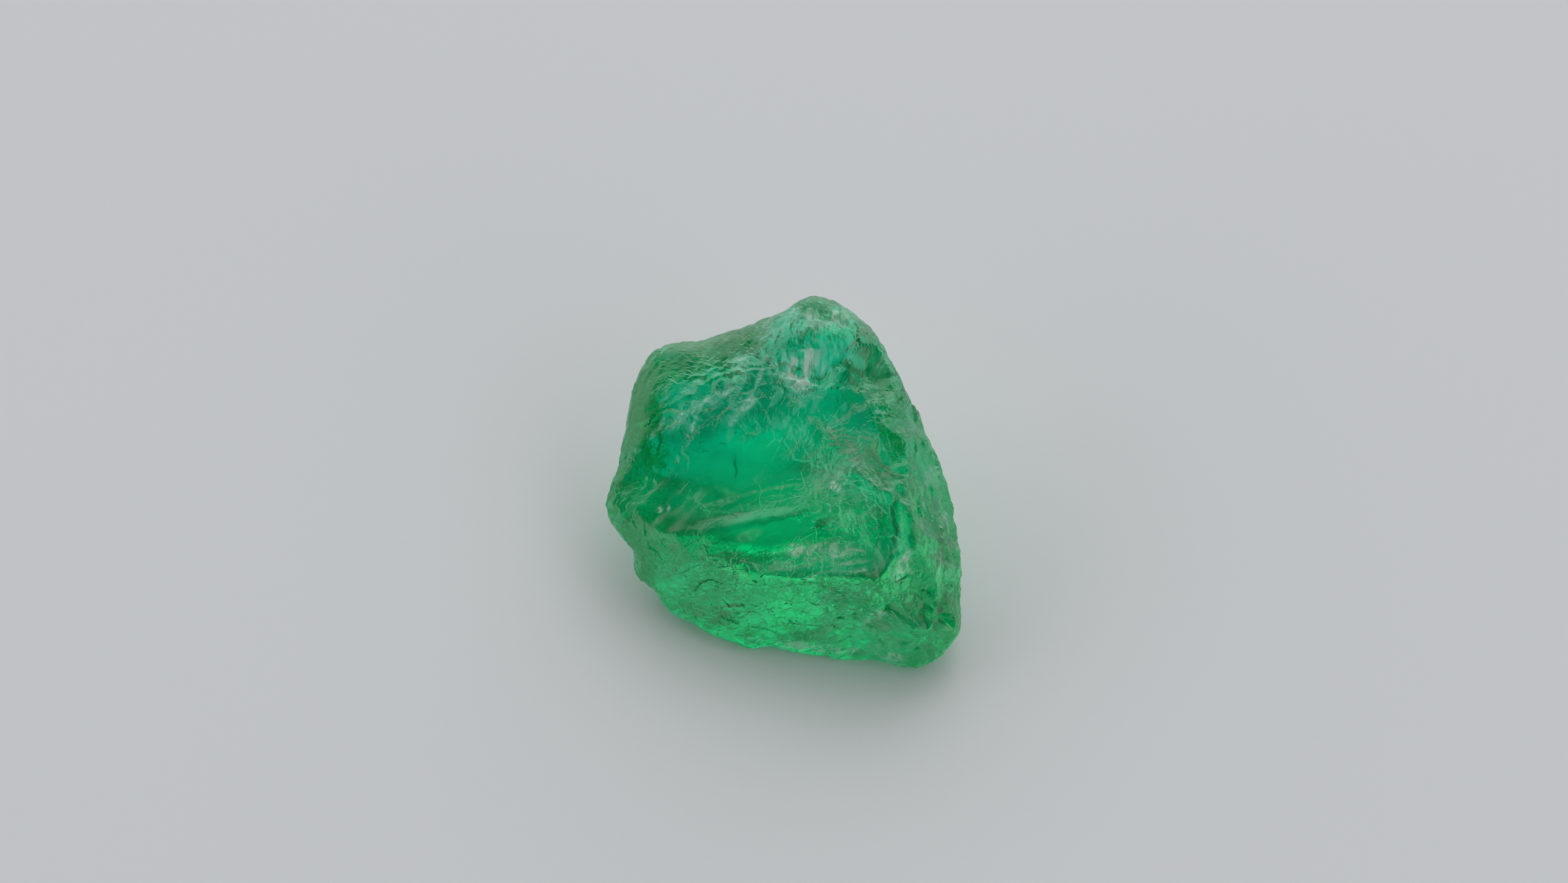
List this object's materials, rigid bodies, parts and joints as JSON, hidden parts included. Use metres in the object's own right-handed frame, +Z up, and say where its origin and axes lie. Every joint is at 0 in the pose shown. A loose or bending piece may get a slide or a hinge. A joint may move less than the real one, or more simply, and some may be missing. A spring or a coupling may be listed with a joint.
{
  "type": "rough gemstone",
  "caption": "Rough broken piece of see-through green gemstone with a shell-shaped hollow, ledges and a flat facet to rest on.",
  "frame": {"origin": "middle of the bounding box's bottom, on the rest plane", "axes": "+Z up from the rest facet, +X to the right in the picture, +Y away from the viewer"},
  "size_m": [0.0144, 0.0138, 0.009],
  "materials": {
    "green_gem": "clear green stone with a frosted, broken surface"
  },
  "bodies": {
    "root": {"tourmaline": "green_gem"}
  },
  "joints": []
}
